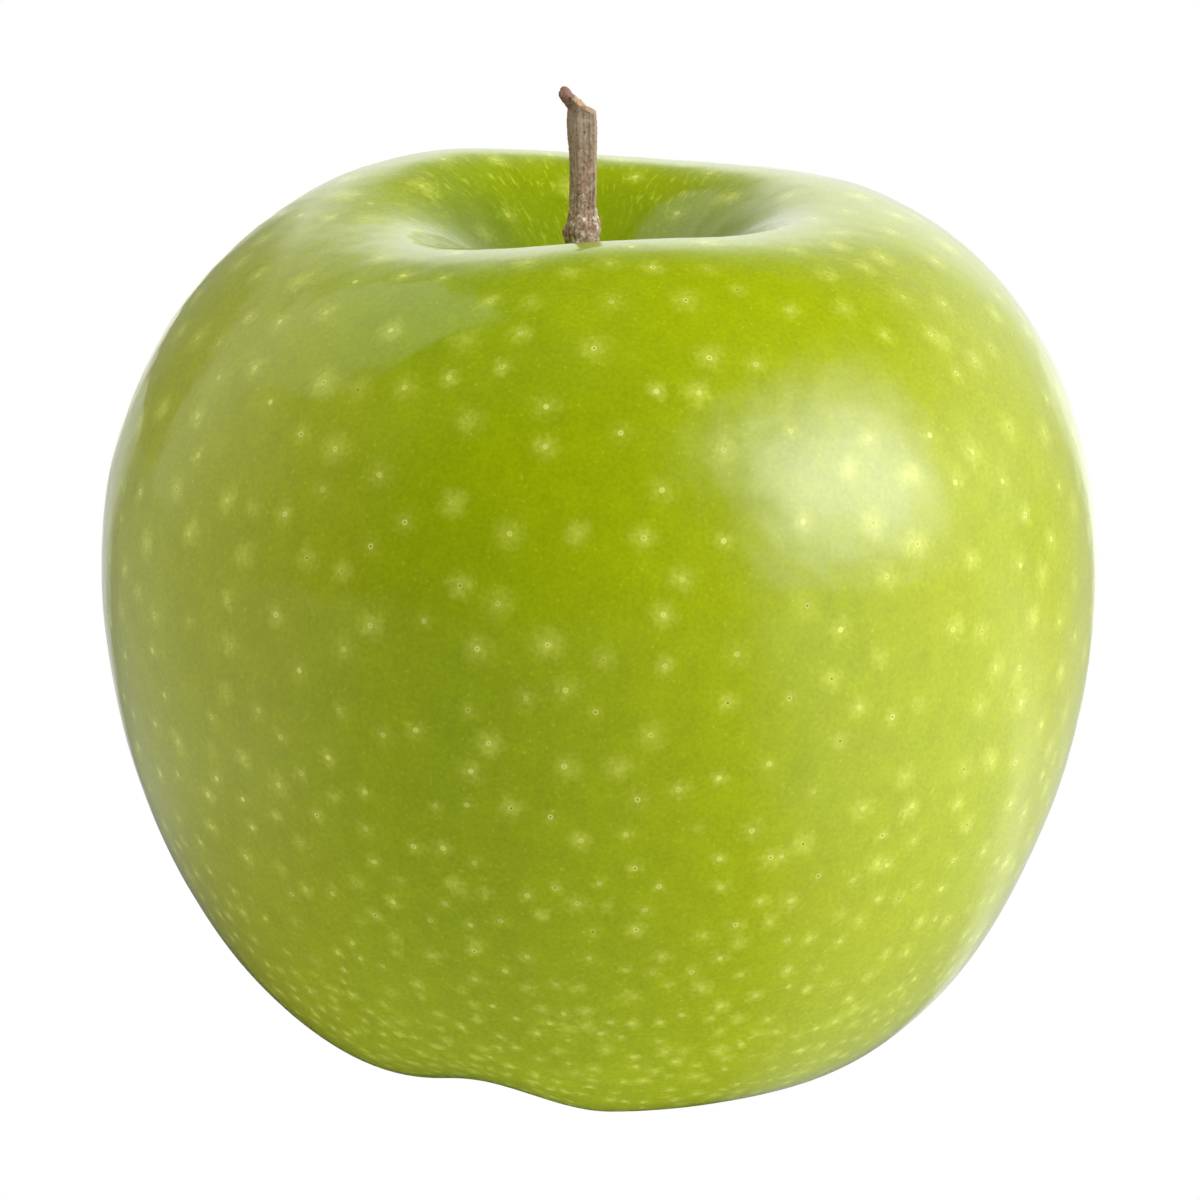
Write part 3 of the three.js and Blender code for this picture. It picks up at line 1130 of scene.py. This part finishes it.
def make_stamen(index):
    bearing = 2 * math.pi * index / stamen_count + tuft_rng.uniform(-0.2, 0.2)
    start, least, most = inner_thread if index % 3 == 0 else outer_thread
    end = tuft_rng.uniform(least, most)
    low = lowest_end + tuft_rng.uniform(0, end_spread)
    kink = tuft_rng.uniform(-kink_limit, kink_limit, 2)

    def at(radius, height, off=0.0):
        x = radius * math.cos(bearing) + kink[0] * off
        return (x, radius * math.sin(bearing) + kink[1] * off, height)

    top = at(start, (plug_top - plug_depth) / MM)
    path = [top, at(start, 9, 0.6), at((start + end) / 2, 7.4, -1), at(end, low)]
    line = smooth_line(np.array(path) * MM, thread_steps)
    thread = grow_stalk(f"stamen_{index}", line, [stamen_radius] * len(line), 2)
    select_nothing()
    bpy.ops.mesh.primitive_uv_sphere_add(segments=10, ring_count=8, radius=anther_radius, location=line[-1])
    anther = bpy.context.object
    anther.scale = anther_stretch
    tilt_x = tuft_rng.uniform(-tilt_limit, tilt_limit)
    anther.rotation_euler = (tilt_x, tuft_rng.uniform(-tilt_limit, tilt_limit), bearing)
    bpy.ops.object.transform_apply()
    return thread, anther


tuft = [part for index in range(stamen_count) for part in make_stamen(index)]
select_nothing()
bpy.ops.mesh.primitive_cylinder_add(
    vertices=32, radius=plug_radius, depth=plug_depth, location=(0, 0, plug_top - plug_depth / 2)
)
bpy.ops.object.transform_apply()
with editing():
    bpy.ops.mesh.bevel(offset=plug_edge, segments=2)
for part in tuft:
    part.select_set(True)
bpy.ops.object.join()
stamens = bpy.context.object
stamens.name = "withered_stamens"
bpy.ops.object.shade_smooth()
thread_brown = colour(74, 52, 32)
thread_dark = colour(36, 25, 16)
anther_dust = colour(150, 124, 84)
coat_with(stamens, make_dry_finish("dry_stamen", thread_brown, thread_dark, anther_dust, 0.3))
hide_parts("stamens")
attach(stamens, "root")
print_box("stamens", read_places(stamens))

# %% [markdown]
# ## The studio
# A fruit this glossy is a mirror of the room, so its highlights are made by what stands round it. Here
# the room is painted into the world by direction: a soft-edged key panel on the right, a smaller and
# sharper one high on the left, pale walls at the sides and behind under a dark ceiling, and darkness in
# front. The camera itself sees a plain white backdrop.

# %% Paint the room
# Each panel: where it is, half its width and height, the softness of its edge, its brightness and turn.
key_panel = ((0.8, -0.39, 0.456), (0.35, 0.3), 0.48, 7.6, 0)
left_panel = ((-0.58, 0.42, 0.7), (0.31, 0.31), 0.07, 0.8, 45)
key_tint = (0.91, 0.88, 1)
# Each wall rises from nothing to its brightness between two values of the direction's x or y.
side_walls = (-0.7, 0.5, 0, 0.66)
back_wall = (0.8, 0.97, 0, 0.5)
right_wall = (0.8, 0.97, 0, 0.6)
# The walls grow brighter with the direction's z, up to a dark ceiling.
brighter_upwards = (-0.1, 0.4, 0.85, 1.2)
dark_ceiling = (0.33, 0.8, 1, 0)
# Low behind the apple on the left is a gap between the walls.
gap_toward = Vector((-0.5, 0.866, 0.12)).normalized()
gap_rise = (0.925, 0.97, 1, 0.25)
front_brightness = 0.01


def soft_edge(value, half_size, softness):
    """1 inside half_size on either side of 0, and softly 0 outside it."""
    apart = maths("ABSOLUTE", value)
    return ramp(apart, half_size - softness / 2, half_size + softness / 2, 1, 0)


def panel(direction, place, half_size, softness, brightness, turn):
    """A soft-edged rectangle of light, facing the fruit, turned about its middle."""
    toward = Vector(place).normalized()
    right = toward.cross(Vector((0, 0, -1))).normalized()
    right.rotate(Quaternion(toward, math.radians(turn)))
    across = vectors("DOT_PRODUCT", direction, right)
    upright = vectors("DOT_PRODUCT", direction, toward.cross(right))
    ahead = vectors("DOT_PRODUCT", direction, toward)
    return times(
        soft_edge(across, half_size[0], softness),
        soft_edge(upright, half_size[1], softness),
        ramp(ahead, 0, 0.2, 0, brightness),
    )


def paint_room():
    world = bpy.data.worlds.new("studio_room")
    bpy.context.scene.world = world
    open_tree(world)
    direction = add_node("TexCoord").outputs["Generated"]
    x, y, z = parts_of(direction)

    key = panel(direction, *key_panel)
    left = panel(direction, *left_panel)
    walls = plus(ramp(y, *side_walls), ramp(y, *back_wall), ramp(x, *right_wall))
    walls = times(walls, ramp(z, *brighter_upwards), ramp(z, *dark_ceiling))
    room = maths("MAXIMUM", walls, left)
    gap = ramp(vectors("DOT_PRODUCT", direction, gap_toward), *gap_rise)
    room = stretch(room, gap, front_brightness)
    light = vectors("MULTIPLY_ADD", key_tint, key, room)

    light = vectors("MAXIMUM", light, add_node("LightPath").outputs["Is Camera Ray"])
    add_node("OutputWorld", {"Surface": add_node("Background", {"Color": light}).outputs[0]})


paint_room()
print("key panel towards", key_panel[0])

# %% [markdown]
# Two large fill lights, high on either side, lift the shoulders and the shaded left side. They light only
# the colour of the skin and are kept out of its reflections.

# %% Add the fill lights
fill_distance = 0.8
fill_size = 0.9
fills = [("left_fill", (-0.5, 0.02, 1.1), 4.95), ("right_fill", (0.8, -0.1, 0.7), 1.89)]

for name, toward, power in fills:
    select_nothing()
    away = Vector(toward).normalized()
    facing_apple = away.to_track_quat("Z", "Y").to_euler()
    bpy.ops.object.light_add(type="AREA", location=away * fill_distance, rotation=facing_apple)
    light = bpy.context.object
    light.name = name
    light.data.size = fill_size
    light.data.energy = power
    light.visible_camera = False
    light.visible_glossy = False
print("fill lights:", len(fills))

# %% [markdown]
# ## The floor
# The floor is plain and pale. The camera sees it as white as the backdrop, without a shadow, as in a
# cut-out. It throws soft light up at the fruit, most of it from close by and from where its patches of
# light lie. In the wax it is mirrored as dark, but for these patches, most of which fade close to the
# apple, in its shade.

# %% Lay the floor
floor_reach = 6.0
# Patches of light: where each lies, seen from the fruit, start and end of its rise, and its brightness.
# Then how they change together between two distances from the fruit, in mm.
floor_lights = [
    ([((0.951, -0.309, 0), 0.67, 0.94, 0.95)], (0, 110, 0.2, 1)),
    ([((0.766, 0.643, 0), 0.75, 0.95, 0.6)], (70, 200, 1, 0.75)),
    ([((0.09, 0.996, 0), 0.88, 0.96, 0.9), ((-0.29, 0.957, 0), 0.93, 0.985, 0.58)], (0, 200, 1, 1)),
    ([((-0.985, 0.17, 0), 0.5, 1, 0.42)], (26, 90, 0, 1)),
]
floor_dimmest = 0.01
bounce_everywhere = 1.12
bounce_of_patches = 0.4
bounce_close_by = (12, 60, 1.5, 1)


def floor_tone(outward, patches):
    """The brightness of these patches together at a spot on the floor."""
    tone = floor_dimmest
    for toward, start, end, brightness in patches:
        tone = plus(tone, ramp(vectors("DOT_PRODUCT", outward, toward), start, end, 0, brightness))
    return tone


def make_floor_finish():
    material = new_material("plain_white_floor")
    spot = place_in_mm()
    outward = vectors("NORMALIZE", spot)
    out = vectors("LENGTH", spot)
    mirrored = plus(*[times(floor_tone(outward, lit), ramp(out, *shade)) for lit, shade in floor_lights])
    bounce = stretch(mirrored, bounce_of_patches, bounce_everywhere)
    bounce = times(bounce, ramp(out, *bounce_close_by))
    rays = add_node("LightPath").outputs
    tone = add_node("Mix", {0: rays["Is Glossy Ray"], 2: bounce, 3: mirrored}).outputs[0]
    for_fruit = add_node("Emission", {"Strength": tone}).outputs[0]
    for_camera = add_node("Emission").outputs[0]
    inputs = {0: rays["Is Camera Ray"], 1: for_fruit, 2: for_camera}
    top_side = add_node("MixShader", inputs).outputs[0]
    # From below, the floor is clear.
    from_below = add_node("NewGeometry").outputs["Backfacing"]
    clear = add_node("BsdfTransparent").outputs[0]
    close_material(add_node("MixShader", {0: from_below, 1: top_side, 2: clear}))
    material.cycles.emission_sampling = "NONE"
    return material


select_nothing()
bpy.ops.mesh.primitive_plane_add(size=2 * floor_reach)
floor = bpy.context.object
floor.name = "studio_floor"
floor.data.materials.append(make_floor_finish())
print("floor:", floor.dimensions[:])

# %% [markdown]
# ## The camera
# A long lens from about a metre away, a little above the fruit, keeps both shoulders in view and shows
# the far rim of the cavity. The camera turns towards a point half way up the fruit.

# %% Place the camera
camera_distance = 0.9
camera_elevation = 13.1
camera_target = Vector((0, 0, 39.0 * MM))
view_width = 99.0 * MM
sensor_width = 36.0

elevation = math.radians(camera_elevation)
backwards = Vector((0, -math.cos(elevation), math.sin(elevation)))
select_nothing()
bpy.ops.object.camera_add(
    location=camera_target + camera_distance * backwards,
    rotation=backwards.to_track_quat("Z", "Y").to_euler(),
)
camera = bpy.context.object
camera.name = "still_life_camera"
camera.data.sensor_width = sensor_width
camera.data.lens = sensor_width * camera_distance / view_width
camera.data.clip_start = 0.05
camera.data.clip_end = 20
bpy.context.scene.camera = camera
bpy.context.scene.view_settings.view_transform = "Standard"
print("lens in mm:", round(camera.data.lens, 1))
